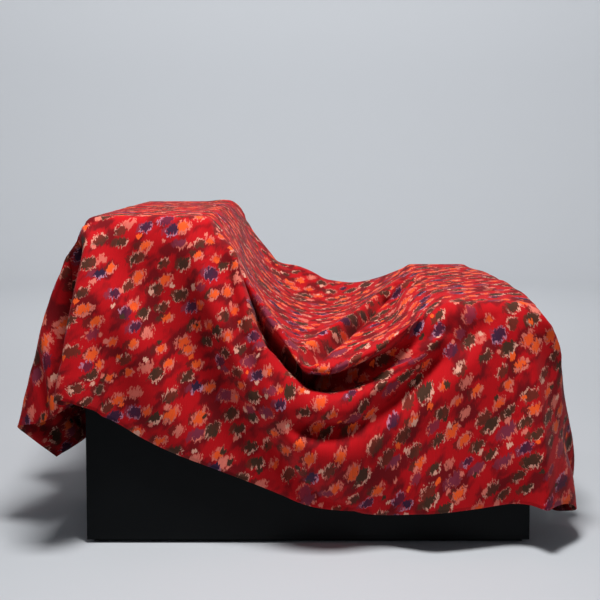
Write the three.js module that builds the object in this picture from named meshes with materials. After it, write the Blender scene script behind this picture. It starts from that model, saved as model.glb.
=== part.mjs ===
// A red ikat cloth draped over a stepped black display plinth, in millimetres.
// +X is to the viewer's right, +Y is away from the viewer and +Z is up.
// The origin is the middle of the plinth's underside.
import * as THREE from "three";
import { ConvexGeometry } from "three/addons/geometries/ConvexGeometry.js";

// The plinth: a low box on a slightly smaller foot, with a tall riser at its left end and a low one at its
// right
const plinthWidth = 600;
const plinthDepth = 480;
const footInset = 8;
const footTop = 4.7;
const seam = 0.3;
const baseTop = 195;
const riserRound = 32;
const risers = [
  { name: "riser_left", left: -300, right: -130, top: 441.6 },
  { name: "riser_right", left: 180, right: 300, top: 325.6 },
];

// The cloth: its flat size, how far it hangs past the plinth, and the threads it is worked out on
const clothWidth = 1152;
const clothLength = 1000;
const clothThick = 2;
const threadPitch = 20.2;
const leftHang = 290;
const rightHang = 150;
const frontDrop = 245;

// How far the middle of the cloth stays from what it falls past, and its underside from what it lies on
const standOff = 7;
const restGap = 0.4;
const foldGap = 12;
const riserEdge = 14;
const baseEdge = 3;
const baseRoom = 6;

// How the cloth behaves: 1 is as stiff as the thread itself, 0 is slack
const threadStiffness = 1;
const shearStiffness = 0.1;
const bendStiffness = 0.1;
const friction = 0.5;
const gravity = 9810;
const frames = 200;
const framesPerSecond = 60;
const stepsPerFrame = 14;
const speedKeptPerFrame = 0.96;
const holdPull = 0.05;

// Where the cloth is arranged by hand. Each fold, lobe or edge is a line on the cloth that is brought to a
// line in space. An end is a distance across the cloth from its left edge, a distance up it from its front
// hem, and the place it comes to. Points between the ends follow them, and bow is how far the middle one
// stands off the straight line.
const end = (across, up, x, y, z) => ({ across, up, x, y, z });
const still = [0, 0, 0];
const tallFrontLeft = end(290, 245, -301, -241, 438);
const tallFrontRight = end(460, 316, -132, -241, 438);
const lowFrontLeft = end(882, 270, 184, -240, 322);
const lowFrontRight = end(1004, 264, 312, -243, 316);
const shoulder = end(1012, 203, 343, -242, 262);
const leftTip = end(84, 0, -407, -190, 141);
const leftTuck = end(0, 122, -316, -225, 126);
const rollEnd = end(668, 155, 0, -288, 219);
const creviceEnd = end(673, 195, -13, -225, 219);
const hollowBack = end(663, 775, -11, 240, 316);
const tongueTip = end(683, 236, -9, -265, 238);
const arranged = [
  {
    line: "tall riser's front edge", points: 3, firm: 1.5,
    from: tallFrontLeft, to: tallFrontRight, bow: [0, 0, 4],
  },
  {
    line: "tall riser's left edge", points: 4, firm: 3,
    from: tallFrontLeft, to: end(290, 525, -304, 39, 441), bow: still,
  },
  {
    line: "low riser's front edge", points: 3, firm: 6,
    from: lowFrontLeft, to: lowFrontRight, bow: still,
  },
  {
    line: "low riser's right edge", points: 4, firm: 5,
    from: end(1012, 388, 315, -120, 327), to: end(1015, 668, 325, 160, 319), bow: [0, 0, 4],
  },
  {
    line: "left lobe", points: 6, firm: 5,
    from: tallFrontLeft, to: leftTip, bow: [-6, 0, 3],
  },
  {
    line: "hollow of the lobes", points: 5, firm: 5,
    from: tallFrontLeft, to: end(222, 0, -307, -246, 192), bow: still,
  },
  {
    line: "front lobe", points: 5, firm: 5,
    from: tallFrontLeft, to: end(292, 0, -321, -302, 212), bow: [2, -2, -7],
  },
  {
    line: "left corner", points: 2, firm: 2,
    from: end(0, 0, -370, -130, 83), to: leftTip, bow: still,
  },
  {
    line: "fold behind the lobes", points: 5, firm: 3,
    from: tallFrontLeft, to: leftTuck, bow: still,
  },
  {
    line: "left edge, going back", points: 4, firm: 2,
    from: leftTuck, to: end(0, 300, -318, -50, 150), bow: still,
  },
  {
    line: "hem under the tall riser", points: 5, firm: 3,
    from: end(389, 0, -262, -265, 176), to: end(657, 0, -11, -272, 75), bow: [0, 10, -2],
  },
  {
    line: "hem under the low riser", points: 4, firm: 3,
    from: end(657, 0, -11, -272, 75), to: end(950, 0, 279, -260, 65), bow: [0, -20, -12],
  },
  {
    line: "front roll", points: 6, firm: 5,
    from: tallFrontRight, to: rollEnd, bow: [-12, 0, -8],
  },
  {
    line: "crevice behind the roll", points: 4, firm: 5,
    from: end(464, 326, -130, -200, 436), to: creviceEnd, bow: [-5, 5, -8],
  },
  {
    line: "wall behind the crevice", points: 4, firm: 5,
    from: end(467, 335, -132, -225, 440), to: tongueTip, bow: [0, 10, 0],
  },
  {
    line: "tongue", points: 4, firm: 5,
    from: tongueTip, to: end(882, 393, 176, -117, 327), bow: [0, 0, -8],
  },
  {
    line: "pocket over the tongue", points: 4, firm: 5,
    from: end(678, 262, -7, -235, 241), to: end(882, 420, 178, -60, 326), bow: [-5, -8, -8],
  },
  {
    line: "fold over the pocket", points: 4, firm: 5,
    from: end(668, 285, -11, -255, 250), to: end(882, 455, 176, -55, 327), bow: still,
  },
  {
    line: "shade under the tongue", points: 5, firm: 5,
    from: creviceEnd, to: lowFrontLeft, bow: [10, 5, -15],
  },
  {
    line: "top of the front roll", points: 5, firm: 5,
    from: rollEnd, to: end(858, 233, 185, -260, 290), bow: [10, -15, -24],
  },
  {
    line: "right shoulder", points: 3, firm: 5,
    from: lowFrontRight, to: shoulder, bow: [4, 0, 4],
  },
  {
    line: "right lobe", points: 4, firm: 3,
    from: shoulder, to: end(1032, 0, 350, -286, 62), bow: still,
  },
  {
    line: "right edge", points: 3, firm: 2,
    from: end(clothWidth, 0, 338, -180, 34), to: end(clothWidth, 265, 335, -195, 165), bow: still,
  },
  {
    line: "hollow's back, falling", points: 6, firm: 5,
    from: end(482, 740, -132, 238, 441), to: hollowBack, bow: [0, 0, -22],
  },
  {
    line: "hollow's back, rising", points: 6, firm: 5,
    from: hollowBack, to: end(867, 745, 184, 238, 325), bow: [0, 0, -26],
  },
];

const columns = Math.round(clothWidth / threadPitch) + 1;
const rows = Math.round(clothLength / threadPitch) + 1;
const columnPitch = clothWidth / (columns - 1);
const rowPitch = clothLength / (rows - 1);
const knotCount = columns * rows;
const knot = (column, row) => column * rows + row;

// A line across the plinth that the cloth first follows: down its left side, over the tall riser, through a
// hollow of the given depth, over the low riser and down its right side
function crossSection(hollowDepth) {
  const [tall, low] = risers;
  const lift = clothThick / 2 + restGap;
  const line = [
    new THREE.Vector2(tall.left - standOff, tall.top + lift - leftHang),
    new THREE.Vector2(tall.left - standOff, tall.top + lift),
  ];
  const hollowPoints = 10;
  const steepness = 0.6;
  for (let k = 0; k <= hollowPoints; k += 1) {
    const t = k / hollowPoints;
    const chord = THREE.MathUtils.lerp(tall.top, low.top, Math.pow(t, steepness)) + lift;
    line.push(new THREE.Vector2(
      THREE.MathUtils.lerp(tall.right, low.left, t),
      chord - hollowDepth * 4 * t * (1 - t),
    ));
  }
  line.push(new THREE.Vector2(low.right + standOff, low.top + lift));
  line.push(new THREE.Vector2(low.right + standOff, low.top + lift - rightHang));
  return line;
}

function lengthOf(line) {
  let length = 0;
  for (let k = 1; k < line.length; k += 1) length += line[k].distanceTo(line[k - 1]);
  return length;
}

// The hollow is as deep as the cloth's whole width allows
function fittedCrossSection() {
  let shallow = 0;
  let deep = baseTop;
  for (let halving = 0; halving < 30; halving += 1) {
    const middle = (shallow + deep) / 2;
    if (lengthOf(crossSection(middle)) < clothWidth) shallow = middle;
    else deep = middle;
  }
  return crossSection(shallow);
}

function pointAlong(line, distance) {
  let left = distance;
  for (let k = 1; k < line.length; k += 1) {
    const stretch = line[k].distanceTo(line[k - 1]);
    if (left <= stretch || k === line.length - 1) {
      return line[k - 1].clone().lerp(line[k], left / stretch);
    }
    left -= stretch;
  }
  return line[line.length - 1];
}

function laidOutCloth() {
  const line = fittedCrossSection();
  const place = new Float64Array(3 * knotCount);
  const frontHem = -plinthDepth / 2 - frontDrop;
  for (let column = 0; column < columns; column += 1) {
    const across = pointAlong(line, column * columnPitch);
    for (let row = 0; row < rows; row += 1) {
      place.set([across.x, frontHem + row * rowPitch, across.y], 3 * knot(column, row));
    }
  }
  return place;
}

// Threads keep their length, diagonals resist shear and every second knot resists a sharp bend
function clothThreads() {
  const diagonal = Math.hypot(columnPitch, rowPitch);
  const links = [
    { right: 1, up: 0, rest: columnPitch, stiffness: threadStiffness },
    { right: 0, up: 1, rest: rowPitch, stiffness: threadStiffness },
    { right: 1, up: 1, rest: diagonal, stiffness: shearStiffness },
    { right: 1, up: -1, rest: diagonal, stiffness: shearStiffness },
    { right: 2, up: 0, rest: 2 * columnPitch, stiffness: bendStiffness },
    { right: 0, up: 2, rest: 2 * rowPitch, stiffness: bendStiffness },
  ];
  const threads = [];
  for (let column = 0; column < columns; column += 1) {
    for (let row = 0; row < rows; row += 1) {
      for (const { right, up, rest, stiffness } of links) {
        const inside = column + right < columns && row + up < rows && row + up >= 0;
        if (!inside) continue;
        threads.push({
          from: 3 * knot(column, row),
          to: 3 * knot(column + right, row + up),
          rest,
          stiffness,
        });
      }
    }
  }
  return threads;
}

function pullThreads(place, threads) {
  for (const { from, to, rest, stiffness } of threads) {
    const x = place[to] - place[from];
    const y = place[to + 1] - place[from + 1];
    const z = place[to + 2] - place[from + 2];
    const length = Math.sqrt(x * x + y * y + z * z);
    const share = 0.5 * stiffness * (length - rest) / length;
    place[from] += x * share;
    place[from + 1] += y * share;
    place[from + 2] += z * share;
    place[to] -= x * share;
    place[to + 1] -= y * share;
    place[to + 2] -= z * share;
  }
}

// The points of an arranged line. A point of the cloth lies between four knots, each with its share of it.
function holdsAlong({ from, to, bow, points, firm }) {
  const holds = [];
  for (let k = 0; k < points; k += 1) {
    const t = k / (points - 1);
    const between = (name) => THREE.MathUtils.lerp(from[name], to[name], t);
    const off = 4 * t * (1 - t);
    holds.push({
      name: `${between("across").toFixed(1)} ${between("up").toFixed(1)}`,
      corners: cornersAround(between("across") / columnPitch, between("up") / rowPitch),
      place: [between("x") + bow[0] * off, between("y") + bow[1] * off, between("z") + bow[2] * off],
      pull: holdPull * firm,
    });
  }
  return holds;
}

function cornersAround(across, up) {
  const column = Math.min(Math.floor(across), columns - 2);
  const row = Math.min(Math.floor(up), rows - 2);
  const [a, b] = [across - column, up - row];
  const corners = [
    { at: 3 * knot(column, row), share: (1 - a) * (1 - b) },
    { at: 3 * knot(column + 1, row), share: a * (1 - b) },
    { at: 3 * knot(column, row + 1), share: (1 - a) * b },
    { at: 3 * knot(column + 1, row + 1), share: a * b },
  ];
  return corners.filter(({ share }) => share > 0);
}

// A point that several lines share is held once, by the firmest of them
function allHolds() {
  const holds = new Map();
  for (const hold of arranged.flatMap(holdsAlong)) {
    const known = holds.get(hold.name);
    if (!known || known.pull < hold.pull) holds.set(hold.name, hold);
  }
  return [...holds.values()];
}

function pullHolds(place, holds) {
  for (const { corners, place: goal, pull } of holds) {
    const squares = corners.reduce((sum, { share }) => sum + share * share, 0);
    for (let axis = 0; axis < 3; axis += 1) {
      const now = corners.reduce((sum, { at, share }) => sum + share * place[at + axis], 0);
      for (const { at, share } of corners) place[at + axis] += (goal[axis] - now) * pull * share / squares;
    }
  }
}

// Folds that come close push each other apart; knots are found by the cell of space that they lie in
const cellBits = 16;
const firstInCell = new Int32Array(1 << cellBits);
const nextInCell = new Int32Array(knotCount);
const cellPrimes = [73856093, 19349663, 83492791];

function cellAt(x, y, z) {
  const [a, b, c] = cellPrimes;
  return ((x * a) ^ (y * b) ^ (z * c)) & (firstInCell.length - 1);
}

function keepFoldsApart(place) {
  const cell = (value) => Math.floor(value / foldGap);
  firstInCell.fill(-1);
  for (let k = 0; k < knotCount; k += 1) {
    const home = cellAt(cell(place[3 * k]), cell(place[3 * k + 1]), cell(place[3 * k + 2]));
    nextInCell[k] = firstInCell[home];
    firstInCell[home] = k;
  }
  for (let k = 0; k < knotCount; k += 1) {
    const [x, y, z] = [cell(place[3 * k]), cell(place[3 * k + 1]), cell(place[3 * k + 2])];
    for (let a = x - 1; a <= x + 1; a += 1) {
      for (let b = y - 1; b <= y + 1; b += 1) {
        for (let c = z - 1; c <= z + 1; c += 1) {
          for (let other = firstInCell[cellAt(a, b, c)]; other >= 0; other = nextInCell[other]) {
            if (other > k) partKnots(place, k, other);
          }
        }
      }
    }
  }
}

function partKnots(place, one, other) {
  const columnsBetween = Math.abs(Math.floor(one / rows) - Math.floor(other / rows));
  const rowsBetween = Math.abs((one % rows) - (other % rows));
  const neighbours = columnsBetween + rowsBetween <= 2;
  if (neighbours) return;
  const a = 3 * one;
  const b = 3 * other;
  const x = place[b] - place[a];
  const y = place[b + 1] - place[a + 1];
  const z = place[b + 2] - place[a + 2];
  const distance = Math.sqrt(x * x + y * y + z * z);
  if (distance >= foldGap || distance === 0) return;
  const share = 0.5 * (foldGap - distance) / distance;
  place[a] -= x * share;
  place[a + 1] -= y * share;
  place[a + 2] -= z * share;
  place[b] += x * share;
  place[b + 1] += y * share;
  place[b + 2] += z * share;
}

// What the cloth lies on: the box and its two risers, each as a middle, half sizes and how far its edges are
// rounded. The box's edges are sharp, so it counts as a little larger, and the flat between two knots passes
// clear of them.
function supports() {
  const blocks = risers.map((riser) => ({ ...riser, room: 0, round: riserEdge }));
  const half = plinthWidth / 2;
  blocks.push({ left: -half, right: half, top: baseTop, room: baseRoom, round: baseEdge });
  return blocks.map(({ left, right, top, room, round }) => {
    const coreTop = top + room + clothThick / 2 + restGap - standOff;
    return {
      middle: [(left + right) / 2, 0, coreTop / 2],
      half: [(right - left) / 2 + room, plinthDepth / 2 + room, coreTop / 2],
      round,
    };
  });
}

function nearBlock({ middle, half }, place, at) {
  return Math.abs(place[at] - middle[0]) < half[0] + standOff
    && Math.abs(place[at + 1] - middle[1]) < half[1] + standOff
    && Math.abs(place[at + 2] - middle[2]) < half[2] + standOff;
}

// The way out of a rounded block and the distance to its skin, or null where a point is clear of it
function wayOut({ middle, half, round }, place, at) {
  const offset = middle.map((value, axis) => place[at + axis] - value);
  const past = offset.map((value, axis) => Math.abs(value) - (half[axis] - round));
  const deepest = Math.max(...past);
  const outward = past.map((value) => (deepest > 0 ? Math.max(value, 0) : Number(value === deepest)));
  const size = Math.hypot(...outward);
  const distance = (deepest > 0 ? size : deepest) - round;
  if (distance >= standOff) return null;
  return { way: outward.map((value, axis) => (value / size) * Math.sign(offset[axis])), distance };
}

function pushOffSupports(place, before, blocks) {
  for (let at = 0; at < place.length; at += 3) {
    for (const block of blocks) {
      const found = nearBlock(block, place, at) ? wayOut(block, place, at) : null;
      if (found) pushOut(place, before, at, found);
    }
  }
}

// A knot that touches moves out to the stand-off, and friction takes back its slide
function pushOut(place, before, at, { way, distance }) {
  const push = standOff - distance;
  const slide = [0, 0, 0];
  let inward = 0;
  for (let axis = 0; axis < 3; axis += 1) {
    place[at + axis] += way[axis] * push;
    slide[axis] = place[at + axis] - before[at + axis];
    inward += slide[axis] * way[axis];
  }
  for (let axis = 0; axis < 3; axis += 1) slide[axis] -= inward * way[axis];
  const slid = Math.hypot(...slide);
  const grip = slid < friction * push ? 1 : (friction * push) / slid;
  for (let axis = 0; axis < 3; axis += 1) place[at + axis] -= slide[axis] * grip;
}

// The cloth falls from where it was laid out, is arranged along its lines, and comes to rest
function drapedCloth() {
  const place = laidOutCloth();
  const before = place.slice();
  const threads = clothThreads();
  const blocks = supports();
  const holds = allHolds();
  const stepTime = 1 / framesPerSecond / stepsPerFrame;
  const fall = gravity * stepTime * stepTime;
  const speedKept = Math.pow(speedKeptPerFrame, 1 / stepsPerFrame);
  const steps = frames * stepsPerFrame;
  for (let step = 0; step < steps; step += 1) {
    for (let k = 0; k < place.length; k += 1) {
      const moved = (place[k] - before[k]) * speedKept;
      before[k] = place[k];
      place[k] += moved - (k % 3 === 2 ? fall : 0);
    }
    pullThreads(place, threads);
    pullHolds(place, holds);
    if (step % 4 === 0) keepFoldsApart(place);
    pushOffSupports(place, before, blocks);
  }
  return place;
}

function clothNormals(place) {
  const point = (column, row) => {
    const c = THREE.MathUtils.clamp(column, 0, columns - 1);
    const r = THREE.MathUtils.clamp(row, 0, rows - 1);
    return new THREE.Vector3().fromArray(place, 3 * knot(c, r));
  };
  const normals = [];
  for (let column = 0; column < columns; column += 1) {
    for (let row = 0; row < rows; row += 1) {
      const right = point(column + 1, row).sub(point(column - 1, row));
      const up = point(column, row + 1).sub(point(column, row - 1));
      normals.push(right.cross(up).normalize());
    }
  }
  return normals;
}

// A closed sheet: the draped knots moved half the thickness to each side, and a rim around its four edges
function clothGeometry() {
  const place = drapedCloth();
  const normals = clothNormals(place);
  const vertices = [];
  for (const side of [1, -1]) {
    normals.forEach((normal, k) => {
      const middle = new THREE.Vector3().fromArray(place, 3 * k);
      vertices.push(...middle.addScaledVector(normal, side * clothThick / 2).toArray());
    });
  }
  const triangles = [];
  const addPatch = (a, b, c, d) => triangles.push(a, b, c, a, c, d);
  for (let column = 0; column < columns - 1; column += 1) {
    for (let row = 0; row < rows - 1; row += 1) {
      const a = knot(column, row);
      const b = knot(column + 1, row);
      const c = knot(column + 1, row + 1);
      const d = knot(column, row + 1);
      addPatch(a, b, c, d);
      triangles.push(knotCount + a, knotCount + c, knotCount + b);
      triangles.push(knotCount + a, knotCount + d, knotCount + c);
    }
  }
  const addRim = (a, b) => addPatch(b, a, knotCount + a, knotCount + b);
  for (let column = 0; column < columns - 1; column += 1) {
    addRim(knot(column, 0), knot(column + 1, 0));
    addRim(knot(column + 1, rows - 1), knot(column, rows - 1));
  }
  for (let row = 0; row < rows - 1; row += 1) {
    addRim(knot(columns - 1, row), knot(columns - 1, row + 1));
    addRim(knot(0, row + 1), knot(0, row));
  }
  const geometry = new THREE.BufferGeometry();
  geometry.setAttribute("position", new THREE.Float32BufferAttribute(vertices, 3));
  geometry.setIndex(triangles);
  geometry.computeVertexNormals();
  return geometry;
}

// A block with a flat underside, whose upright corners and upper edges are rounded
function riserGeometry({ left, right, top }) {
  const steps = 4;
  const bottom = baseTop + seam;
  const points = [];
  for (const sideX of [-1, 1]) {
    for (const sideY of [-1, 1]) {
      for (let turn = 0; turn <= steps; turn += 1) {
        const around = (turn / steps) * Math.PI / 2;
        for (let rise = 0; rise <= steps; rise += 1) {
          const upward = (rise / steps) * Math.PI / 2;
          const inset = riserRound * (1 - Math.cos(upward) * Math.cos(around));
          const insetBack = riserRound * (1 - Math.cos(upward) * Math.sin(around));
          const height = top - riserRound * (1 - Math.sin(upward));
          const x = (left + right) / 2 + sideX * ((right - left) / 2 - inset);
          const y = sideY * (plinthDepth / 2 - insetBack);
          points.push(new THREE.Vector3(x, y, height));
          if (rise === 0) points.push(new THREE.Vector3(x, y, bottom));
        }
      }
    }
  }
  return new ConvexGeometry(points);
}

function boxMesh(name, material, width, depth, bottom, top) {
  const mesh = new THREE.Mesh(new THREE.BoxGeometry(width, depth, top - bottom), material);
  mesh.position.z = (bottom + top) / 2;
  mesh.name = name;
  return mesh;
}

function plinth() {
  const black = new THREE.MeshStandardMaterial({ color: 0x14171a, roughness: 0.45, metalness: 0 });
  const group = new THREE.Group();
  const [footWidth, footDepth] = [plinthWidth - 2 * footInset, plinthDepth - 2 * footInset];
  group.add(boxMesh("plinth_foot", black, footWidth, footDepth, 0, footTop));
  group.add(boxMesh("plinth_base", black.clone(), plinthWidth, plinthDepth, footTop + seam, baseTop));
  for (const riser of risers) {
    const mesh = new THREE.Mesh(riserGeometry(riser), black.clone());
    mesh.name = riser.name;
    group.add(mesh);
  }
  return group;
}

function cloth() {
  const red = new THREE.MeshStandardMaterial({ color: 0xb3202c, roughness: 0.9, metalness: 0 });
  const mesh = new THREE.Mesh(clothGeometry(), red);
  mesh.name = "cloth";
  return mesh;
}

const part = new THREE.Group();
part.add(plinth());
part.add(cloth());

export default part;
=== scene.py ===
"""A red ikat cloth draped over a stepped black display plinth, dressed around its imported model.

The frame is in metres: +X to the viewer's right, +Y away from the viewer and +Z up.
"""

import math

import bpy
import numpy as np
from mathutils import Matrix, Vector


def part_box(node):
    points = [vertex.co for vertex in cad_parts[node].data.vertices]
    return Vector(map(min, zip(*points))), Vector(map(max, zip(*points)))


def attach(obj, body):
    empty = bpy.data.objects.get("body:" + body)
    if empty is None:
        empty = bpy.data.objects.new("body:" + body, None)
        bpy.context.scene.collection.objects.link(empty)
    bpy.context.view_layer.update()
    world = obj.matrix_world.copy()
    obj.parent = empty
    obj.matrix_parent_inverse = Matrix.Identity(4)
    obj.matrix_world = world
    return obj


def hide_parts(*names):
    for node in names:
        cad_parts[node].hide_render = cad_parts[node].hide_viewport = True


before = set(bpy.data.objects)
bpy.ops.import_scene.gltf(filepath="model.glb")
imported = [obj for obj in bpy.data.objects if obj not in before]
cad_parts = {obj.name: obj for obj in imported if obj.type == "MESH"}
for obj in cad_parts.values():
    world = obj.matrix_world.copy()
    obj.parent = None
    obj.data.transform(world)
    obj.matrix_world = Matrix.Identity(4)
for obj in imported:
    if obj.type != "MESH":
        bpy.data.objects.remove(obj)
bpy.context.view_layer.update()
MM = 0.001

# The cloth's flat size, and the thickness that it is shown with
CLOTH_WIDTH = 1152 * MM
CLOTH_LENGTH = 1000 * MM
CLOTH_THICK = 1.0 * MM

# The camera stands in front of the plinth and looks a little down. Its lens and sensor are in millimetres.
CAMERA_PLACE = (-11.1 * MM, -1463.7 * MM, 518.9 * MM)
CAMERA_DOWN = math.radians(3.0)
CAMERA_LENS = 55.23
CAMERA_SENSOR = 36.0
CAMERA_SHIFT = -0.1526

# The solid's rim has narrow faces: none of the others has an edge as short as this
RIM_EDGE = 4 * MM
MICRONS_IN_METRE = 1e6


# The cloth's knots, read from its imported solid

def cloth_layers(node):
    """The solid's knots, with doubles joined, and the faces of its two layers without the rim's."""
    vertices = np.array([v.co for v in node.data.vertices], float)
    order = {}
    spot = np.empty(len(vertices), int)
    for k, place in enumerate(np.round(vertices * MICRONS_IN_METRE).astype(int)):
        spot[k] = order.setdefault(tuple(place), len(order))
    places = np.zeros((len(order), 3))
    places[spot] = vertices
    faces = np.array([[spot[i] for i in p.vertices] for p in node.data.polygons])
    shortest = np.full(len(faces), np.inf)
    for a, b in ((0, 1), (1, 2), (2, 0)):
        edge = np.linalg.norm(places[faces[:, a]] - places[faces[:, b]], axis=1)
        shortest = np.minimum(shortest, edge)
    return places, faces[shortest > RIM_EDGE]


def neighbours_of(faces):
    """The knots that share an edge with each knot."""
    near = {}
    for face in faces:
        for k in face:
            near.setdefault(k, set()).update(i for i in face if i != k)
    return near


def split_layers(near):
    """The knots of each layer, found by walking from neighbour to neighbour."""
    left = set(near)
    layers = []
    while left:
        heap = [next(iter(left))]
        seen = set(heap)
        while heap:
            for k in near[heap.pop()]:
                if k not in seen:
                    seen.add(k)
                    heap.append(k)
        layers.append(seen)
        left -= seen
    return layers


def boundary_next(faces):
    """The knots along a layer's edge: each edge knot with its neighbours along the edge."""
    faces_at = {}
    for a, b, c in faces:
        for pair in ((a, b), (b, c), (c, a)):
            key = (min(pair), max(pair))
            faces_at[key] = faces_at.get(key, 0) + 1
    along = {}
    for (a, b), count in faces_at.items():
        if count == 1:
            along.setdefault(a, []).append(b)
            along.setdefault(b, []).append(a)
    return along


def walk_edge(along, near, start, first):
    """The knots from one corner along the edge to the next corner, which has two or three neighbours."""
    line = [start, first]
    while len(near[line[-1]]) > 3:
        ahead = [k for k in along[line[-1]] if k != line[-2]]
        line.append(ahead[0])
    return line


def grid_of(layer, faces, places):
    """The knots of a layer as a table of columns and rows. Every cell is split from its near left corner to
    its far right one, so the first and the last knot are the two with three neighbours."""
    mine = [face for face in faces if face[0] in layer]
    near = neighbours_of(mine)
    along = boundary_next(mine)
    corners = [k for k in layer if len(near[k]) == 3]
    start = min(corners, key=lambda k: places[k][1])
    lines = [walk_edge(along, near, start, first) for first in along[start]]
    across, up = sorted(lines, key=len, reverse=True)
    table = np.full((len(across), len(up)), -1)
    table[:, 0] = across
    table[0, :] = up
    for column in range(1, len(across)):
        for row in range(1, len(up)):
            a = table[column - 1, row - 1]
            b = table[column, row - 1]
            d = table[column - 1, row]
            table[column, row] = (near[b] & near[d]).difference({a}).pop()
    return table


def cloth_middle(node):
    """The middle of the cloth at each knot, columns by rows."""
    places, skin = cloth_layers(node)
    layers = split_layers(neighbours_of(skin))
    one, other = (grid_of(layer, skin, places) for layer in layers)
    return (places[one] + places[other]) / 2


def finer_line(knots, times):
    """A smooth curve through knots along the first axis, with so many steps between two knots."""
    ends = np.concatenate([2 * knots[:1] - knots[1:2], knots, 2 * knots[-1:] - knots[-2:-1]])
    a, b, c, d = ends[:-3], ends[1:-2], ends[2:-1], ends[3:]
    out = np.empty(((len(knots) - 1) * times + 1,) + knots.shape[1:])
    for step in range(times):
        t = step / times
        out[step:-1:times] = 0.5 * (
            2 * b + (c - a) * t + (2 * a - 5 * b + 4 * c - d) * t ** 2 + (3 * b - a - 3 * c + d) * t ** 3
        )
    out[-1] = knots[-1]
    return out


def finer_grid(knots, times):
    """A smooth grid through a grid's knots, so many times as fine both ways."""
    across = finer_line(knots, times)
    return finer_line(across.swapaxes(0, 1), times).swapaxes(0, 1)


def grid_normals(place):
    """The unit normals at a grid's knots."""
    across = np.gradient(place, axis=0)
    up = np.gradient(place, axis=1)
    normal = np.cross(across, up)
    return normal / np.linalg.norm(normal, axis=2, keepdims=True)


# The folds, settled again on a finer cloth. Lengths in this section are millimetres.

WIDE = CLOTH_WIDTH / MM
LONG = CLOTH_LENGTH / MM

# The plinth's blocks that the cloth lies on, with the rounding of their edges
BLOCKS = {"plinth_base": 3.0, "riser_left": 14.0, "riser_right": 14.0}

# How the cloth behaves: shares of a difference that one step makes good, or of a speed that it keeps
STRETCH = 1.0
SHEAR = 0.1
SPEED_KEPT = 0.95
FRICTION = 0.3
HOLD_PULL = 0.4
REST_PULL = 0.25

# The cloth settles twice: on a grid twice as fine as the solid's, and on one four times as fine. The gaps are
# kept from the blocks and between layers. Gravity is how far one step falls, and hold_step how close the
# points along a fold line are.
SETTLES = (
    {"steps": 260, "bend": 0.2, "block_gap": 2.0, "layer_gap": 8.0, "gravity": 0.03, "hold_step": 8.0},
    {"steps": 60, "bend": 0.3, "block_gap": 1.5, "layer_gap": 4.0, "gravity": 0.01, "hold_step": 4.0},
)

# Every so many steps, the layers that lie within this many gaps of one another are listed anew
LIST_EVERY = 20
LIST_REACH = 1.8

# Lines along the folds. Each row says how far across and up the flat cloth a point lies, and its place X, Y
# and Z.
SWAG_FOLDS = {
    "front roll": [(500, 300, -102, -245, 406), (531, 290, -91, -248, 383), (563, 258, -76, -257, 341),
                   (590, 212, -61, -268, 291), (614, 186, -44, -276, 261), (640, 167, -21, -284, 238),
                   (668, 155, 0, -290, 219), (697, 150, 28, -294, 212), (723, 150, 54, -295, 211),
                   (780, 162, 110, -290, 226), (828, 200, 157, -278, 262), (858, 230, 184, -264, 291)],
    "crevice": [(545, 292, -90, -236, 368), (575, 268, -71, -247, 330), (604, 234, -52, -248, 284),
                (634, 212, -30, -245, 248), (662, 200, -10, -250, 230), (680, 197, -2, -250, 222),
                (705, 198, 22, -250, 220), (738, 202, 52, -250, 223), (775, 215, 86, -254, 238),
                (812, 240, 120, -256, 262), (846, 263, 152, -256, 292)],
    "flank of the tongue": [(548, 308, -88, -238, 374), (580, 281, -73, -244, 336),
                            (618, 258, -50, -252, 298), (643, 250, -29, -258, 276),
                            (668, 238, -15, -264, 254), (684, 236, -6, -267, 241)],
    "lip of the tongue": [(684, 236, -6, -267, 241), (711, 240, 22, -270, 240), (736, 243, 46, -271, 249),
                          (762, 251, 70, -270, 262), (786, 262, 92, -268, 274), (812, 277, 116, -264, 292),
                          (846, 293, 149, -258, 310)],
    "pocket": [(714, 312, 30, -192, 258), (738, 378, 57, -135, 268), (768, 440, 88, -78, 280),
               (808, 520, 126, -5, 302)],
    "fold over the pocket": [(680, 262, -7, -262, 255), (716, 338, 28, -197, 271), (745, 410, 59, -145, 286),
                             (775, 470, 90, -85, 297), (815, 547, 128, -10, 315), (862, 637, 168, 83, 326)],
    "shade under the roll": [(655, 108, -10, -282, 172), (700, 105, 30, -280, 169), (755, 118, 88, -276, 186),
                             (805, 150, 138, -268, 222), (850, 190, 180, -256, 260)],
}
CORNER_FOLDS = {
    "near lobe": [(303, 232, -292, -258, 425), (306, 175, -296, -276, 369), (306, 138, -300, -286, 335),
                  (306, 100, -306, -295, 298), (302, 50, -313, -301, 255), (293, 0, -322, -304, 211)],
    "gap behind it": [(284, 222, -303, -243, 417), (268, 175, -312, -240, 368), (250, 138, -318, -238, 330),
                      (238, 100, -318, -232, 290), (230, 50, -320, -232, 242), (222, 0, -322, -236, 188)],
    "far lobe": [(290, 240, -298, -240, 438), (272, 222, -311, -238, 422), (246, 190, -329, -230, 386),
                 (232, 175, -335, -226, 366), (202, 139, -355, -215, 320), (131, 56, -386, -205, 214),
                 (84, 0, -404, -198, 144)],
    "hem between the lobes": [(84, 0, -404, -198, 144), (150, 0, -362, -215, 160), (222, 0, -322, -236, 188)],
    "hem to the corner": [(84, 0, -404, -198, 144), (40, 0, -384, -174, 117), (0, 0, -364, -150, 90)],
    "side edge": [(0, 0, -364, -150, 90), (0, 50, -332, -116, 104), (0, 100, -322, -70, 112),
                  (0, 145, -321, -30, 120), (0, 190, -330, -70, 135), (0, 235, -342, -112, 150),
                  (0, 290, -350, -105, 165), (0, 360, -376, -78, 174)],
}
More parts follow.
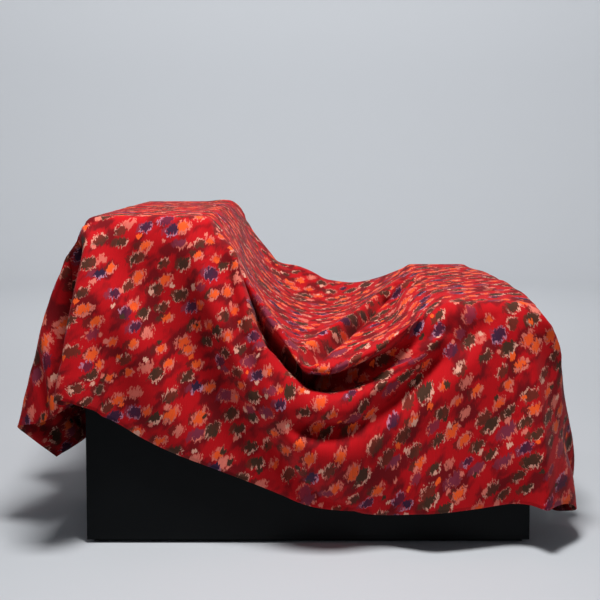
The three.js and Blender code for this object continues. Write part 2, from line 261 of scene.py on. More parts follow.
SHOULDER_FOLDS = {
    "right shoulder": [(1016, 520, 321, 20, 326), (1016, 430, 318, -80, 327), (1018, 345, 322, -160, 322),
                       (1005, 262, 318, -242, 313), (1011, 225, 336, -243, 283), (1018, 190, 346, -242, 245),
                       (1018, 140, 345, -257, 200)],
}

# The parts of the flat cloth that settle freely, from and to, across and up, and how wide their edges fade.
# The corner's part starts outside the cloth, so it is free up to the hem and the side edge.
SWAG_PART = ((470, 900), (90, 760))
CORNER_PART = ((-60, 320), (-60, 400))
PART_EDGE = 60

# The corner is drawn smooth between its fold lines before the cloth settles
REDRAW_PASSES = 500
REDRAW_EDGE = 40


def smooth_line(points, step):
    """Points at about an even step along a smooth line through the given ones."""
    knots = np.array(points, float)
    ends = np.concatenate([2 * knots[:1] - knots[1:2], knots, 2 * knots[-1:] - knots[-2:-1]])
    out = []
    for a, b, c, d in zip(ends[:-3], ends[1:-2], ends[2:-1], ends[3:]):
        pieces = max(1, round(np.linalg.norm((c - b)[:2]) / step))
        t = (np.arange(pieces) / pieces)[:, None]
        out.append(0.5 * (2 * b + (c - a) * t + (2 * a - 5 * b + 4 * c - d) * t ** 2
                          + (3 * b - a - 3 * c + d) * t ** 3))
    return np.concatenate(out + [knots[-1:]])


def soften(place, passes):
    """Smooth the cloth a little, with its edges kept."""
    for _ in range(passes):
        for axis in (0, 1):
            p = place.swapaxes(0, axis)
            ends = np.concatenate([2 * p[:1] - p[1:2], p, 2 * p[-1:] - p[-2:-1]])
            place = ((ends[:-2] + 2 * ends[1:-1] + ends[2:]) / 4).swapaxes(0, axis)
    return np.ascontiguousarray(place)


def share_inside(shape, part, edge):
    """1 inside a part of the flat cloth and 0 outside it, with an even step across its edge."""
    share = np.ones(shape)
    for axis, size in ((0, WIDE), (1, LONG)):
        at = np.linspace(0, size, shape[axis])
        low, high = part[axis]
        line = np.clip((at - low) / edge, 0, 1) * np.clip((high - at) / edge, 0, 1)
        share = share * (line[:, None] if axis == 0 else line[None])
    return share


def make_threads(shape, bend):
    """The lengths that the cloth keeps: pairs of knots with their distance on the flat cloth and a stiffness.
    No two pairs of one row share a knot."""
    columns, rows = shape
    pitch = (WIDE / (columns - 1), LONG / (rows - 1))
    out = []
    for right, up, stiff in ((1, 0, STRETCH), (0, 1, STRETCH), (1, 1, SHEAR), (1, -1, SHEAR), (2, 0, bend),
                             (0, 2, bend)):
        rest = math.hypot(right * pitch[0], up * pitch[1])
        column = np.arange(columns - right)
        row = np.arange(max(0, -up), rows - max(0, up))
        for half in (0, 1):
            i = column[(column // right) % 2 == half] if right else column
            j = row if right else row[(row // up) % 2 == half]
            out.append((np.ix_(i, j), np.ix_(i + right, j + up), rest, stiff))
    return out


def keep_lengths(place, threads):
    """Bring each pair of knots towards its distance on the flat cloth."""
    for a, b, rest, stiff in threads:
        step = place[b] - place[a]
        length = np.sqrt(np.einsum("ijk,ijk->ij", step, step))
        step *= (0.5 * stiff * (length - rest) / length)[..., None]
        place[a] += step
        place[b] -= step


def make_holds(lines, shape, step):
    """Points along the fold lines: the four knots around each, their shares, and its place."""
    columns, rows = shape
    points = np.concatenate([smooth_line(line, step) for line in lines])
    u = np.maximum(points[:, 0], 0) / WIDE * (columns - 1)
    v = np.maximum(points[:, 1], 0) / LONG * (rows - 1)
    i = np.minimum(u.astype(int), columns - 2)
    j = np.minimum(v.astype(int), rows - 2)
    a, b = u - i, v - j
    knots = np.stack([i * rows + j, (i + 1) * rows + j, i * rows + j + 1, (i + 1) * rows + j + 1], axis=1)
    shares = np.stack([(1 - a) * (1 - b), a * (1 - b), (1 - a) * b, a * b], axis=1)
    return knots, shares, points[:, 2:]


def pull_to_holds(place, holds, strength):
    """Pull the knots around each held point towards its place, by their shares of it."""
    knots, shares, goals = holds
    least_total = 0.5
    flat = place.reshape(-1, 3)
    push = (goals - np.einsum("ij,ijk->ik", shares, flat[knots])) * strength
    total = np.maximum(np.bincount(knots.ravel(), shares.ravel(), len(flat)), least_total)
    moved = shares[..., None] * push[:, None, :]
    for axis in range(3):
        flat[:, axis] += np.bincount(knots.ravel(), moved[..., axis].ravel(), len(flat)) / total


def keep_off(place, before, block, gap, friction):
    """Push the cloth out of a block with round edges, and slow what slides on it."""
    middle, half, rounding = block
    flat = place.reshape(-1, 3)
    near = np.nonzero(np.all(np.abs(flat - middle) < half + gap, axis=1))[0]
    offset = flat[near] - middle
    past = np.abs(offset) - (half - rounding)
    deepest = past.max(axis=1)
    outward = np.where(deepest[:, None] > 0, np.maximum(past, 0), past == deepest[:, None])
    norm = np.linalg.norm(outward, axis=1)
    distance = np.where(deepest > 0, norm, deepest) - rounding
    hit = distance < gap
    near = near[hit]
    way = (outward / norm[:, None] * np.sign(offset))[hit]
    push = (gap - distance)[hit]
    flat[near] += way * push[:, None]
    slide = flat[near] - before.reshape(-1, 3)[near]
    slide -= way * np.einsum("ij,ij->i", slide, way)[:, None]
    slid = np.linalg.norm(slide, axis=1) + 1e-9
    flat[near] -= slide * np.minimum(1.0, friction * push / slid)[:, None]


def near_pairs(place, reach, apart):
    """Pairs of knots that may lie within reach though they are more than so many knots apart on the flat
    cloth: those in the same box of that size, or in boxes beside one another."""
    rows = place.shape[1]
    flat = place.reshape(-1, 3)
    # A box's three numbers, all above zero, go into one key of so many bits each
    above_zero = 1000
    bits = 20
    cell = np.floor(flat / reach).astype(np.int64) + above_zero
    key = (cell[:, 0] << 2 * bits) + (cell[:, 1] << bits) + cell[:, 2]
    order = np.argsort(key, kind="stable")
    ranked = key[order]
    steps = (-1, 0, 1)
    around = [(x, y, z) for x in steps for y in steps for z in steps if (x, y, z) >= (0, 0, 0)]
    pairs = []
    for x, y, z in around:
        want = key + (x << 2 * bits) + (y << bits) + z
        low = np.searchsorted(ranked, want, "left")
        count = np.searchsorted(ranked, want, "right") - low
        a = np.repeat(np.arange(len(flat)), count)
        start = np.repeat(low - np.concatenate([[0], np.cumsum(count)[:-1]]), count)
        b = order[start + np.arange(count.sum())]
        far = np.abs(a // rows - b // rows) + np.abs(a % rows - b % rows) > apart
        keep = far & ((a < b) | ((x, y, z) != (0, 0, 0)))
        pairs.append(np.stack([a[keep], b[keep]]))
    return np.concatenate(pairs, axis=1)


def part_layers(place, pairs, gap):
    """Push the listed pairs of knots apart where they are closer than the gap."""
    flat = place.reshape(-1, 3)
    a, b = pairs
    step = flat[b] - flat[a]
    length = np.sqrt(np.einsum("ij,ij->i", step, step)) + 1e-9
    hit = length < gap
    a, b, length = a[hit], b[hit], length[hit]
    step = step[hit] * (0.5 * (gap - length) / length)[:, None]
    for axis in range(3):
        flat[:, axis] -= np.bincount(a, step[:, axis], len(flat))
        flat[:, axis] += np.bincount(b, step[:, axis], len(flat))


def block_of(node, rounding):
    """A block's middle, half sizes and rounding."""
    low, high = (np.array(corner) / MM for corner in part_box(node))
    return (low + high) / 2, (high - low) / 2, rounding


def redraw(place, part, lines):
    """Draw a part of the cloth smooth again between the lines that hold it."""
    inside = np.minimum(1, 2 * share_inside(place.shape[:2], part, REDRAW_EDGE))[..., None]
    holds = make_holds(lines, place.shape[:2], SETTLES[0]["hold_step"])
    for _ in range(REDRAW_PASSES):
        place = np.ascontiguousarray(place + (soften(place, 1) - place) * inside)
        pull_to_holds(place, holds, 1.0)
    return place


def settle(place, blocks, steps, bend, block_gap, layer_gap, gravity, hold_step):
    """Let the free parts of the cloth settle, and keep the rest about where it is."""
    shape = place.shape[:2]
    threads = make_threads(shape, bend)
    lines = [line for folds in (SWAG_FOLDS, CORNER_FOLDS, SHOULDER_FOLDS) for line in folds.values()]
    holds = make_holds(lines, shape, hold_step)
    free = np.maximum(share_inside(shape, SWAG_PART, PART_EDGE), share_inside(shape, CORNER_PART, PART_EDGE))
    kept = (REST_PULL * (1 - free))[..., None]
    goal = place.copy()
    before = place.copy()
    apart = math.ceil(layer_gap * (shape[0] - 1) / WIDE) + 1
    for step in range(steps):
        moved = (place - before) * SPEED_KEPT
        moved[..., 2] -= gravity
        before = place.copy()
        place = place + moved
        place += (goal - place) * kept
        keep_lengths(place, threads)
        pull_to_holds(place, holds, HOLD_PULL)
        if step % LIST_EVERY == 0:
            pairs = near_pairs(place, LIST_REACH * layer_gap, apart)
        part_layers(place, pairs, layer_gap)
        for block in blocks:
            keep_off(place, before, block, block_gap, FRICTION)
    return place


# Creases, and wider shifts of a fold, a side or the hem, set in last. Each one pushes the cloth along a line
# by so much along X, Y and Z, and fades out over a width on the line's left and on its right. A point of the
# line is across, up and the share of the push there.
CREASES = [
    {"name": "edge of the front roll", "push": (-4, -5, 1), "left": 16, "right": 30,
     "line": [(520, 298, 0.0), (563, 258, 0.8), (614, 186, 1.0), (660, 158, 0.8), (700, 150, 0.0)]},
    {"name": "crevice", "push": (0, 40, -27), "left": 22, "right": 27,
     "line": [(535, 296, 0.0), (575, 268, 0.7), (604, 236, 1.0), (640, 212, 1.0), (680, 199, 1.0),
              (712, 200, 0.6), (745, 206, 0.25), (790, 226, 0.0)]},
    {"name": "flank of the tongue", "push": (-3, -11, 5), "left": 26, "right": 10,
     "line": [(560, 298, 0.0), (600, 272, 0.8), (643, 251, 1.0), (680, 240, 0.8)]},
    {"name": "lip of the tongue", "push": (2, -20, 3), "left": 26, "right": 10,
     "line": [(680, 240, 0.8), (711, 243, 1.0), (762, 254, 1.0), (812, 280, 0.6), (860, 302, 0.0)]},
    {"name": "hollow under the lip", "push": (0, 20, 2), "left": 12, "right": 24,
     "line": [(676, 214, 0.2), (712, 220, 1.0), (762, 231, 1.0), (812, 255, 0.8), (860, 284, 0.0)]},
    {"name": "pocket", "push": (3, 13, -28), "left": 13, "right": 13,
     "line": [(684, 256, 0.3), (706, 300, 1.0), (732, 366, 1.0), (764, 436, 0.9), (806, 520, 0.5),
              (850, 590, 0.0)]},
    {"name": "fold over the pocket", "push": (-1, -12, 10), "left": 22, "right": 12,
     "line": [(674, 268, 0.4), (702, 335, 1.0), (732, 405, 1.0), (766, 470, 0.9), (808, 548, 0.6),
              (862, 640, 0.0)]},
    {"name": "low ridge across the front", "push": (0, -5, 1), "left": 26, "right": 26,
     "line": [(640, 25, 0.0), (668, 48, 1.0), (712, 72, 1.0), (775, 98, 1.0), (832, 145, 0.8),
              (890, 215, 0.0)]},
    {"name": "round of the roll", "push": (0, -9, 0), "left": 16, "right": 18,
     "line": [(640, 146, 0.0), (668, 136, 0.7), (697, 132, 1.0), (723, 132, 1.0), (770, 144, 0.8),
              (815, 184, 0.5), (850, 216, 0.0)]},
    {"name": "hollow above the low ridge", "push": (0, 14, -2), "left": 26, "right": 24,
     "line": [(610, 120, 0.0), (650, 102, 0.8), (705, 113, 1.0), (760, 140, 0.6), (800, 170, 0.0)]},
    {"name": "valley below the roll", "push": (0, 24, -2), "left": 26, "right": 36,
     "line": [(735, 125, 0.0), (775, 146, 0.8), (819, 180, 1.0), (860, 212, 1.0), (905, 250, 0.6),
              (945, 292, 0.0)]},
    {"name": "hem drawn in below the roll", "push": (0, 38, -14), "left": 90, "right": 90,
     "line": [(590, 10, 0.0), (650, 5, 0.8), (710, 0, 1.0), (770, 0, 0.7), (830, 0, 0.0)]},
    {"name": "shaded flank of the roll", "push": (0, 11, 0), "left": 22, "right": 22,
     "line": [(560, 190, 0.0), (584, 155, 0.8), (600, 125, 1.0), (614, 85, 1.0), (634, 52, 1.0),
              (662, 30, 0.4)]},
    {"name": "hollow above the hem", "push": (0, 14, 0), "left": 24, "right": 20,
     "line": [(575, 100, 0.0), (604, 62, 0.8), (640, 30, 1.0), (680, 10, 1.0), (723, -5, 0.8)]},
    {"name": "ridge at the plinth's right corner", "push": (3, -15, 0), "left": 11, "right": 11,
     "line": [(966, 240, 0.0), (970, 180, 0.8), (975, 100, 1.0), (980, 40, 1.0), (985, 0, 1.0)]},
    {"name": "hollow beside that ridge", "push": (-2, 9, 0), "left": 40, "right": 15,
     "line": [(992, 240, 0.0), (996, 180, 0.8), (1002, 100, 1.0), (1008, 40, 1.0), (1012, 0, 0.8)]},
    {"name": "right side turned back", "push": (5, 46, 0), "left": 130, "right": 78,
     "line": [(1062, 270, 0.0), (1062, 210, 0.1), (1062, 150, 0.5), (1062, 80, 0.9), (1066, 0, 1.0)]},
    {"name": "right side drawn in", "push": (-9, 0, 0), "left": 110, "right": 50,
     "line": [(1040, 250, 0.0), (1040, 190, 0.8), (1040, 140, 1.0), (1040, 90, 0.7), (1040, 40, 0.0)]},
    {"name": "side edge drawn in", "push": (-13, 0, 0), "left": 70, "right": 70,
     "line": [(1150, 240, 0.0), (1150, 300, 1.0), (1150, 345, 1.0), (1150, 410, 0.0)]},
    {"name": "ridge on the near face", "push": (-1, -5, 0), "left": 8, "right": 8,
     "line": [(338, 165, 0.0), (350, 105, 0.8), (362, 50, 1.0), (377, 0, 1.0)]},
    {"name": "hollow beside it", "push": (0, 5, 0), "left": 14, "right": 12,
     "line": [(322, 150, 0.0), (333, 95, 1.0), (344, 45, 1.0), (352, 0, 0.6)]},
    {"name": "gap behind the near lobe", "push": (14, 66, 0), "left": 28, "right": 28,
     "line": [(284, 222, 0.0), (272, 186, 0.5), (258, 150, 0.9), (234, 104, 1.0), (216, 50, 1.0),
              (210, 0, 0.7)]},
    {"name": "edge of the near lobe", "push": (-6, -5, 0), "left": 22, "right": 12,
     "line": [(303, 225, 0.0), (306, 180, 0.6), (306, 138, 1.0), (306, 100, 1.0), (302, 50, 1.0),
              (293, 0, 0.7)]},
    {"name": "far lobe drawn out", "push": (-3, 0, 4), "left": 45, "right": 60,
     "line": [(262, 212, 0.0), (232, 175, 0.7), (202, 139, 1.0), (131, 56, 1.0), (84, 0, 1.0)]},
    {"name": "hem lowered at the right", "push": (3, 0, -14), "left": 110, "right": 110,
     "line": [(1025, 0, 0.0), (1045, 0, 0.5), (1065, 0, 1.0), (1090, 0, 0.9), (1152, 0, 0.5)]},
    {"name": "hem lifted at the left", "push": (0, 0, 10), "left": 60, "right": 60,
     "line": [(285, 0, 0.0), (305, 0, 0.8), (330, 0, 1.0), (360, 0, 0.7), (392, 0, 0.0)]},
    {"name": "hem lowered along the front", "push": (0, 0, -10), "left": 90, "right": 90,
     "line": [(392, 0, 0.0), (440, 0, 0.9), (520, 0, 1.0), (600, 0, 0.9), (680, 0, 0.9), (740, 0, 0.5),
              (800, 0, 0.0)]},
]

# A ridge left of the front roll that is smoothed away first, in so many passes
SMOOTH_PASSES = 60
SMOOTHED = {"left": 34, "right": 34,
            "line": [(490, 190, 0.0), (515, 160, 1.0), (556, 135, 1.0), (591, 110, 1.0), (611, 80, 1.0),
                     (627, 50, 0.8), (650, 10, 0.0)]}


def beside(place, fold):
    """Each knot's share of a fold: its line's share on the line, fading out on both sides of it."""
    columns, rows = place.shape[:2]
    line_step = 4.0
    across, up = np.meshgrid(np.linspace(0, WIDE, columns), np.linspace(0, LONG, rows), indexing="ij")
    line = smooth_line(fold["line"], line_step)
    way = np.gradient(line[:, :2], axis=0)
    aside_u = across[..., None] - line[:, 0]
    aside_v = up[..., None] - line[:, 1]
    distance = np.hypot(aside_u, aside_v)
    nearest = distance.argmin(axis=2)[..., None]
    gap = np.take_along_axis(distance, nearest, 2)[..., 0]
    aside_u = np.take_along_axis(aside_u, nearest, 2)[..., 0]
    aside_v = np.take_along_axis(aside_v, nearest, 2)[..., 0]
    nearest = nearest[..., 0]
    side = way[nearest, 0] * aside_v - way[nearest, 1] * aside_u
    width = np.where(side > 0, fold["left"], fold["right"])
    return (np.clip(1 - (gap / width) ** 2, 0, 1) ** 2 * line[nearest, 2])[..., None]


def rest_on(place, blocks, gap):
    """Push the cloth out of every block."""
    for block in blocks:
        keep_off(place, place.copy(), block, gap, 0.0)


def settled_cloth(middle):
    """The cloth on a grid four times as fine as its solid's, in metres."""
    blocks = [block_of(name, rounding) for name, rounding in BLOCKS.items()]
    first, second = SETTLES
    place = np.ascontiguousarray(finer_grid(soften(middle / MM, 1), 2))
    rest_on(place, blocks, first["block_gap"])
    place = redraw(place, CORNER_PART, list(CORNER_FOLDS.values()))
    place = settle(place, blocks, **first)
    place = np.ascontiguousarray(finer_grid(place, 2))
    place = settle(place, blocks, **second)
    place = soften(place, 1)
    share = beside(place, SMOOTHED)
    for _ in range(SMOOTH_PASSES):
        place = place + (soften(place, 1) - place) * share
    for fold in CREASES:
        place = place + beside(place, fold) * np.array(fold["push"])
    place = soften(place, 2)
    rest_on(place, blocks, second["block_gap"])
    return place * MM


# Meshes

def link(name, mesh):
    piece = bpy.data.objects.new(name, mesh)
    bpy.context.scene.collection.objects.link(piece)
    return piece


def cloth_piece(place, face_material, back_material):
    """A closed sheet of the cloth's thickness around its middle, with its flat place as UV, in metres."""
    columns, rows = place.shape[:2]
    normal = grid_normals(place)
    count = columns * rows
    front = place + normal * CLOTH_THICK / 2
    back = place - normal * CLOTH_THICK / 2
    vertices = np.concatenate([front.reshape(-1, 3), back.reshape(-1, 3)])
    knot = np.arange(count).reshape(columns, rows)
    a, b, c, d = knot[:-1, :-1], knot[1:, :-1], knot[1:, 1:], knot[:-1, 1:]
    skin = np.stack([a, b, c, d], axis=-1).reshape(-1, 4)
    lining = skin[:, ::-1] + count
    edge = np.concatenate([knot[:, 0], knot[-1, 1:], knot[-2::-1, -1], knot[0, -2::-1]])
    p, q = edge[:-1], edge[1:]
    rim = np.stack([q, p, p + count, q + count], axis=-1)
    faces = np.concatenate([skin, lining, rim])
    mesh = bpy.data.meshes.new("ikat_cloth")
    mesh.from_pydata(vertices.tolist(), [], faces.tolist())
    mesh.update()
    flat_u = np.repeat(np.linspace(0, CLOTH_WIDTH, columns), rows)
    flat_v = np.tile(np.linspace(0, CLOTH_LENGTH, rows), columns)
    flat = np.stack([np.tile(flat_u, 2), np.tile(flat_v, 2)], axis=-1)
    layer = mesh.uv_layers.new(name="flat")
    corner = np.empty(len(mesh.loops), np.int32)
    mesh.loops.foreach_get("vertex_index", corner)
    layer.data.foreach_set("uv", flat[corner].ravel().astype(np.float32))
    mesh.materials.append(face_material)
    mesh.materials.append(back_material)
    side = np.zeros(len(faces), np.int32)
    side[len(skin):len(skin) + len(lining)] = 1
    mesh.polygons.foreach_set("material_index", side)
    mesh.polygons.foreach_set("use_smooth", np.ones(len(faces), bool))
    mesh.update()
    return link("ikat_cloth", mesh)


# Materials

class Nodes:
    """A short way to write a material's nodes."""

    def __init__(self, name):
        self.material = bpy.data.materials.new(name)
        self.material.use_nodes = True
        self.tree = self.material.node_tree
        self.shader = self.tree.nodes["Principled BSDF"]

    def put(self, socket, value):
        if isinstance(value, bpy.types.NodeSocket):
            self.tree.links.new(value, socket)
        else:
            socket.default_value = value

    def add(self, kind, settings=None, **inputs):
        node = self.tree.nodes.new(kind)
        for key, value in (settings or {}).items():
            setattr(node, key, value)
        for key, value in inputs.items():
            self.put(node.inputs[key.replace("_", " ")], value)
        return node

    def math(self, operation, *values):
        node = self.tree.nodes.new("ShaderNodeMath")
        node.operation = operation
        for socket, value in zip(node.inputs, values):
            self.put(socket, value)
        return node.outputs[0]

    def vector(self, operation, *values):
        node = self.tree.nodes.new("ShaderNodeVectorMath")
        node.operation = operation
        for socket, value in zip(node.inputs, values):
            self.put(socket, value)
        return node.outputs["Value"] if operation in ("LENGTH", "DOT_PRODUCT") else node.outputs[0]

    def scaled(self, value, times, plus):
        return self.math("ADD", plus, self.math("MULTIPLY", value, times))

    def combine(self, x, y, z=0.0):
        return self.add("ShaderNodeCombineXYZ", X=x, Y=y, Z=z).outputs[0]

    def separate(self, vector):
        node = self.add("ShaderNodeSeparateXYZ", Vector=vector)
        return node.outputs[0], node.outputs[1], node.outputs[2]

    def stretched(self, across, up, across_times, up_times):
        return self.combine(self.math("MULTIPLY", across, across_times), self.math("MULTIPLY", up, up_times))

    def noise(self, vector, scale, detail):
        node = self.add("ShaderNodeTexNoise", Vector=vector, Scale=scale, Detail=detail, Roughness=0.5)
        return node.outputs[0]

    def smooth(self, value, low, high):
        """From 0 where value is at low to 1 where it is at high."""
        node = self.add("ShaderNodeMapRange", {"interpolation_type": "SMOOTHSTEP"})
        for socket, x in zip(node.inputs, (value, low, high, 0.0, 1.0)):
            self.put(socket, x)
        return node.outputs[0]

    def relief(self, height, strength, depth):
        bump = self.add("ShaderNodeBump", Strength=strength, Distance=depth, Height=height)
        self.put(self.shader.inputs["Normal"], bump.outputs[0])

    def mix(self, share, one, other):
        node = self.tree.nodes.new("ShaderNodeMix")
        node.data_type = "RGBA"
        self.put(node.inputs["Factor"], share)
        self.put(node.inputs[6], one)
        self.put(node.inputs[7], other)
        return node.outputs[2]


def colour(red, green, blue):
    """A linear colour from the 0 to 255 values that a screen shows."""
    def linear(value):
        part = value / 255
        return part / 12.92 if part <= 0.04045 else ((part + 0.055) / 1.055) ** 2.4
    return (linear(red), linear(green), linear(blue), 1.0)


# The cloth's colours
CRIMSON = colour(188, 6, 18)
MAROON = colour(118, 4, 14)
ORANGE = colour(250, 92, 34)
SALMON = colour(224, 116, 100)
OLIVE = colour(70, 44, 30)
CREAM = colour(228, 164, 142)
NAVY = colour(48, 28, 56)
LAVENDER = colour(188, 134, 158)
PLUM = colour(128, 44, 64)
BROWN = colour(92, 26, 22)

# Each mark's kind is a random share. These give the colour from that share on.
RIM_COLOURS = ((0.0, SALMON), (0.42, CREAM), (0.8, LAVENDER), (0.9, SALMON))
CORE_COLOURS = ((0.0, SALMON), (0.07, ORANGE), (0.42, OLIVE), (0.8, NAVY), (0.9, PLUM))
BLOT_COLOURS = ((0.0, BROWN), (0.3, OLIVE), (0.6, BROWN), (0.8, PLUM))
FLECK_COLOURS = ((0.0, SALMON), (0.66, ORANGE), (0.78, CREAM), (0.88, OLIVE))
DARK_FROM = 0.42

# The rows of marks run at this angle to the front hem, and a mark has a cell of this length and width
MARK_ANGLE = math.radians(48)
MARK_LENGTH = 31 * MM
MARK_WIDTH = 23 * MM

# Half sizes of the marks, of the blots beside them and of the flecks between them, along and across a row
MARK_HALF = (12.6 * MM, 7.0 * MM)
BLOT_HALF = (11.5 * MM, 6.5 * MM)
FLECK_HALF = (4.6 * MM, 3.0 * MM)
FLECK_SHIFT = 7.37

# How groups of warp threads slipped against one another before dyeing: how fine the groups are across the
# cloth and how fast the slip changes along a thread, both for each metre, and how far they slip
SLIPS = (
    {"across": 1000.0, "along": 40.0, "far": 6 * MM},
    {"across": 420.0, "along": 60.0, "far": 8 * MM},
    {"across": 150.0, "along": 50.0, "far": 9 * MM},
)

# The weave's threads, and the depth of their relief and of the rolled paint's
THREAD_PITCH = 0.9 * MM
WEAVE_DEPTH = 0.12 * MM
PAINT_DEPTH = 0.1 * MM


def turned_to_rows(nodes, place):
    """A place on the flat cloth, turned so that its first axis runs along the rows of marks."""
    return nodes.add("ShaderNodeVectorRotate", {"rotation_type": "Z_AXIS"}, Vector=place,
                     Angle=-MARK_ANGLE).outputs[0]


def mark_cells(nodes, place, half, seed_shift=0.0):
    """A place's offset from the middle of its mark, in half sizes of the mark, and three random shares."""
    long, wide = half
    scaled = nodes.vector("MULTIPLY", turned_to_rows(nodes, place), (1 / MARK_LENGTH, 1 / MARK_WIDTH, 0.0))
    scaled = nodes.vector("ADD", scaled, (seed_shift, seed_shift * 0.7, 0.0))
    cells = nodes.add("ShaderNodeTexVoronoi", {"voronoi_dimensions": "2D"}, Vector=scaled, Scale=1.0,
                      Randomness=0.72)
    offset = nodes.vector("SUBTRACT", scaled, cells.outputs["Position"])
    offset = nodes.vector("MULTIPLY", offset, (MARK_LENGTH / long, MARK_WIDTH / wide, 0.0))
    return offset, cells.outputs["Color"]


def mark_reach(nodes, offset, shift, size, ragged):
    """How far a place is from the middle of its mark, 1 at its edge."""
    smallest, more = 0.72, 0.5
    feathered = 1.35
    reach = nodes.vector("LENGTH", nodes.vector("ADD", offset, shift))
    reach = nodes.math("DIVIDE", reach, nodes.scaled(size, more, smallest))
    return nodes.math("ADD", reach, nodes.math("MULTIPLY", nodes.math("SUBTRACT", ragged, 0.5), feathered))


def thread_slip(nodes, across, up):
    """How far each warp thread was tied too high or too low before dyeing, in metres."""
    slip = 0.0
    for group in SLIPS:
        noise = nodes.noise(nodes.stretched(across, up, group["across"], group["along"]), 1.0, 1.0)
        group_slip = nodes.math("MULTIPLY", nodes.math("SUBTRACT", noise, 0.5), group["far"])
        slip = nodes.math("ADD", slip, group_slip)
    return slip


def pick(nodes, kind, choices):
    """The colour whose range holds the random share; each choice starts where it says."""
    colour_now = choices[0][1]
    for start, other in choices[1:]:
        colour_now = nodes.mix(nodes.math("GREATER_THAN", kind, start), colour_now, other)
    return colour_now


def mottled_ground(nodes, place):
    """Red with darker clouds drawn out along the rows of marks."""
    cloudy = nodes.noise(nodes.vector("MULTIPLY", turned_to_rows(nodes, place), (24.0, 52.0, 0.0)), 1.0, 2.0)
    return nodes.mix(nodes.smooth(cloudy, 0.46, 0.62), CRIMSON, MAROON)


def add_blots(nodes, painted, place, ragged):
    """Soft dark blots beside many marks."""
    offset, chance = mark_cells(nodes, place, BLOT_HALF)
    kind, side, size = nodes.separate(chance)
    reach = mark_reach(nodes, offset, (0.7, -0.5, 0.0), size, ragged)
    strength = nodes.math("MULTIPLY", 0.75, nodes.math("GREATER_THAN", side, 0.35))
    blot = nodes.math("MULTIPLY", nodes.smooth(reach, 1.1, 0.7), strength)
    return nodes.mix(blot, painted, pick(nodes, kind, BLOT_COLOURS))


def add_marks(nodes, painted, place, ragged, broken):
    """The marks: a core, larger in the dark ones, and a broken rim that is wider on one side or another."""
    offset, chance = mark_cells(nodes, place, MARK_HALF)
    kind, side, size = nodes.separate(chance)
    lean = nodes.vector("MULTIPLY", nodes.vector("SUBTRACT", chance, (0.5, 0.5, 0.5)), (0.1, 0.7, 0.0))
    reach = mark_reach(nodes, offset, (0.0, 0.0, 0.0), size, ragged)
    rim_reach = mark_reach(nodes, offset, lean, size, ragged)
    strength = nodes.scaled(side, 0.28, 0.72)
    core_edge = nodes.scaled(nodes.math("GREATER_THAN", kind, DARK_FROM), 0.2, 0.62)
    core = nodes.smooth(nodes.math("SUBTRACT", core_edge, reach), -0.08, 0.08)
    rim = nodes.math("MULTIPLY", nodes.smooth(rim_reach, 1.04, 0.9), nodes.smooth(broken, 0.4, 0.5))
    rim = nodes.math("MULTIPLY", rim, nodes.math("SUBTRACT", 1.0, core))
    painted = nodes.mix(nodes.math("MULTIPLY", rim, strength), painted, pick(nodes, kind, RIM_COLOURS))
    return nodes.mix(nodes.math("MULTIPLY", core, strength), painted, pick(nodes, kind, CORE_COLOURS))


def add_flecks(nodes, painted, place, ragged):
    """Small flecks between the marks."""
    offset, chance = mark_cells(nodes, place, FLECK_HALF, FLECK_SHIFT)
    kind, _, size = nodes.separate(chance)
    reach = mark_reach(nodes, offset, (0.0, 0.0, 0.0), size, ragged)
    fleck = nodes.math("MULTIPLY", nodes.smooth(reach, 1.08, 0.85), nodes.math("GREATER_THAN", kind, 0.45))
    return nodes.mix(fleck, painted, pick(nodes, kind, FLECK_COLOURS))


def add_weave(nodes, across, up, streak):
    """The fine relief of warp and weft."""
    turn = 2 * math.pi / THREAD_PITCH
    weft = nodes.math("SINE", nodes.math("MULTIPLY", up, turn))
    warp = nodes.math("SINE", nodes.math("MULTIPLY", across, turn))
    height = nodes.math("ADD", nodes.math("MULTIPLY", weft, warp), nodes.math("MULTIPLY", streak, 2.0))
    nodes.relief(height, 0.35, WEAVE_DEPTH)


def cloth_material(name, shade):
    """Ikat cotton. Its colours are multiplied by the shade: 1 on the face, and below 1 on the reverse, where
    it is painted shade.
    """
    nodes = Nodes(name)
    flat = nodes.add("ShaderNodeUVMap", {"uv_map": "flat"}).outputs[0]
    across, up, _ = nodes.separate(flat)
    place = nodes.combine(across, nodes.math("ADD", up, thread_slip(nodes, across, up)))
    ragged = nodes.noise(place, 300.0, 1.5)
    broken = nodes.noise(nodes.stretched(across, up, 300.0, 120.0), 1.0, 2.0)
    streak = nodes.noise(nodes.stretched(across, up, 1300.0, 60.0), 1.0, 1.0)

    painted = mottled_ground(nodes, place)
    painted = add_blots(nodes, painted, place, ragged)
    painted = add_marks(nodes, painted, place, ragged, broken)
    painted = add_flecks(nodes, painted, place, ragged)
    # Thread streaks vary the tone; the shade factor darkens the whole reverse side as painted shade
    light = nodes.math("MULTIPLY", nodes.scaled(streak, 0.32, 0.84), shade)
    shaded = nodes.vector("MULTIPLY", painted, nodes.combine(light, light, light))
    nodes.put(nodes.shader.inputs["Base Color"], shaded)
    nodes.shader.inputs["Roughness"].default_value = 0.82
    nodes.shader.inputs["Specular IOR Level"].default_value = 0.16
    nodes.shader.inputs["Sheen Weight"].default_value = 0.05
    nodes.shader.inputs["Sheen Roughness"].default_value = 0.45
    add_weave(nodes, across, up, streak)
    return nodes.material


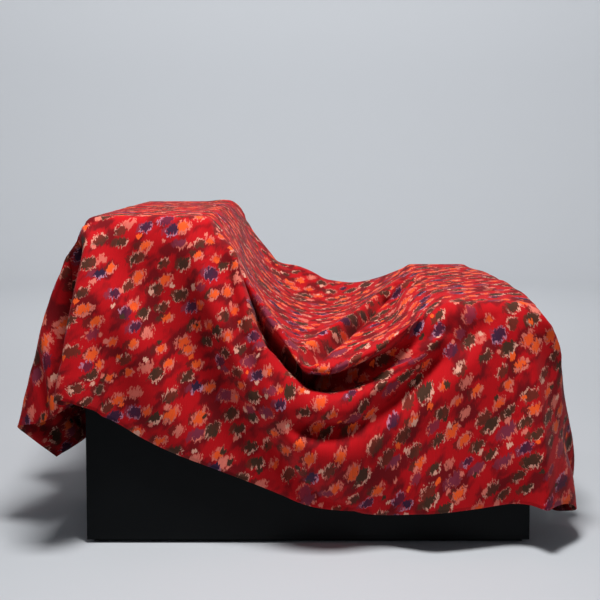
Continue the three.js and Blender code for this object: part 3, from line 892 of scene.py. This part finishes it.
def black_board(name):
    """Board painted satin black with a roller."""
    dark = (0.0008, 0.0014, 0.0018, 1.0)
    less_dark = (0.0016, 0.0024, 0.0030, 1.0)
    nodes = Nodes(name)
    place = nodes.add("ShaderNodeTexCoord").outputs["Object"]
    nodes.put(nodes.shader.inputs["Base Color"], nodes.mix(nodes.noise(place, 7.0, 3.0), dark, less_dark))
    nodes.put(nodes.shader.inputs["Roughness"], nodes.scaled(nodes.noise(place, 9.0, 3.0), 0.14, 0.5))
    nodes.shader.inputs["Specular IOR Level"].default_value = 0.12
    nodes.relief(nodes.noise(place, 420.0, 3.0), 0.25, PAINT_DEPTH)
    return nodes.material


def floor_material():
    nodes = Nodes("pale_floor")
    nodes.shader.inputs["Base Color"].default_value = (0.6, 0.62, 0.65, 1.0)
    nodes.shader.inputs["Roughness"].default_value = 0.9
    nodes.shader.inputs["Specular IOR Level"].default_value = 0.1
    return nodes.material


# The pieces

# The face keeps its own colours; the reverse side's colours are darkened as painted shade
FACE_SHADE = 1.0
REVERSE_PAINTED_SHADE = 0.7

black = black_board("satin_black")
for name in ("plinth_foot", "plinth_base", "riser_left", "riser_right"):
    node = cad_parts[name]
    node.data.materials.clear()
    node.data.materials.append(black)

face = cloth_material("ikat_face", FACE_SHADE)
# The reverse is the face's pattern with painted shade over it
reverse = cloth_material("ikat_reverse_painted_shade", REVERSE_PAINTED_SHADE)
cloth = cloth_piece(settled_cloth(cloth_middle(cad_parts["cloth"])), face, reverse)
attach(cloth, "root")
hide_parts("cloth")


# The stage

def make_floor():
    """A round pale floor that curves up into a plain wall all around, in metres."""
    flat_to = 2.6
    curve = 1.0
    wall_top = 2.6
    steps = 12
    turns = 96
    inner_ring = 0.5 * flat_to
    profile = [(inner_ring, 0.0)]
    for step in range(steps + 1):
        angle = math.radians(90) * step / steps
        profile.append((flat_to + curve * math.sin(angle), curve * (1 - math.cos(angle))))
    profile.append((flat_to + curve, wall_top))
    vertices = [(0.0, 0.0, 0.0)]
    faces = []
    for radius, height in profile:
        for turn in range(turns):
            angle = 2 * math.pi * turn / turns
            vertices.append((radius * math.cos(angle), radius * math.sin(angle), height))
    for turn in range(turns):
        after = (turn + 1) % turns
        faces.append((0, 1 + turn, 1 + after))
        for ring in range(len(profile) - 1):
            low, high = 1 + ring * turns, 1 + (ring + 1) * turns
            faces.append((low + turn, high + turn, high + after, low + after))
    mesh = bpy.data.meshes.new("pale_floor")
    mesh.from_pydata(vertices, [], faces)
    mesh.materials.append(floor_material())
    mesh.polygons.foreach_set("use_smooth", [True] * len(mesh.polygons))
    mesh.update()
    floor = link("pale_floor", mesh)


def soft_light(name, place, aim, size, power):
    """A lamp with a size in metres, turned towards a point."""
    lamp = bpy.data.lights.new(name, "AREA")
    lamp.shape = "RECTANGLE"
    lamp.size, lamp.size_y = size
    lamp.energy = power
    holder = bpy.data.objects.new(name, lamp)
    bpy.context.scene.collection.objects.link(holder)
    holder.location = place
    holder.rotation_euler = (Vector(aim) - Vector(place)).to_track_quat("-Z", "Y").to_euler()


def make_camera():
    data = bpy.data.cameras.new("camera")
    data.lens = CAMERA_LENS
    data.sensor_width = CAMERA_SENSOR
    data.shift_y = CAMERA_SHIFT
    camera = bpy.data.objects.new("camera", data)
    bpy.context.scene.collection.objects.link(camera)
    camera.location = CAMERA_PLACE
    camera.rotation_euler = (math.radians(90.0) - CAMERA_DOWN, 0.0, 0.0)
    bpy.context.scene.camera = camera


def make_world():
    """Faint cool light from all around."""
    world = bpy.data.worlds.new("studio")
    world.use_nodes = True
    background = world.node_tree.nodes["Background"]
    background.inputs["Color"].default_value = (0.72, 0.76, 0.8, 1.0)
    background.inputs["Strength"].default_value = 0.13
    bpy.context.scene.world = world


make_floor()
soft_light("key", place=(0.02, -0.62, 1.55), aim=(0.0, 0.0, 0.2), size=(0.36, 0.3), power=25.0)
soft_light("wall", place=(0.0, 0.9, 2.4), aim=(0.0, 3.6, 1.1), size=(2.4, 0.6), power=66.0)
make_camera()
make_world()
bpy.context.scene.view_settings.view_transform = "Standard"
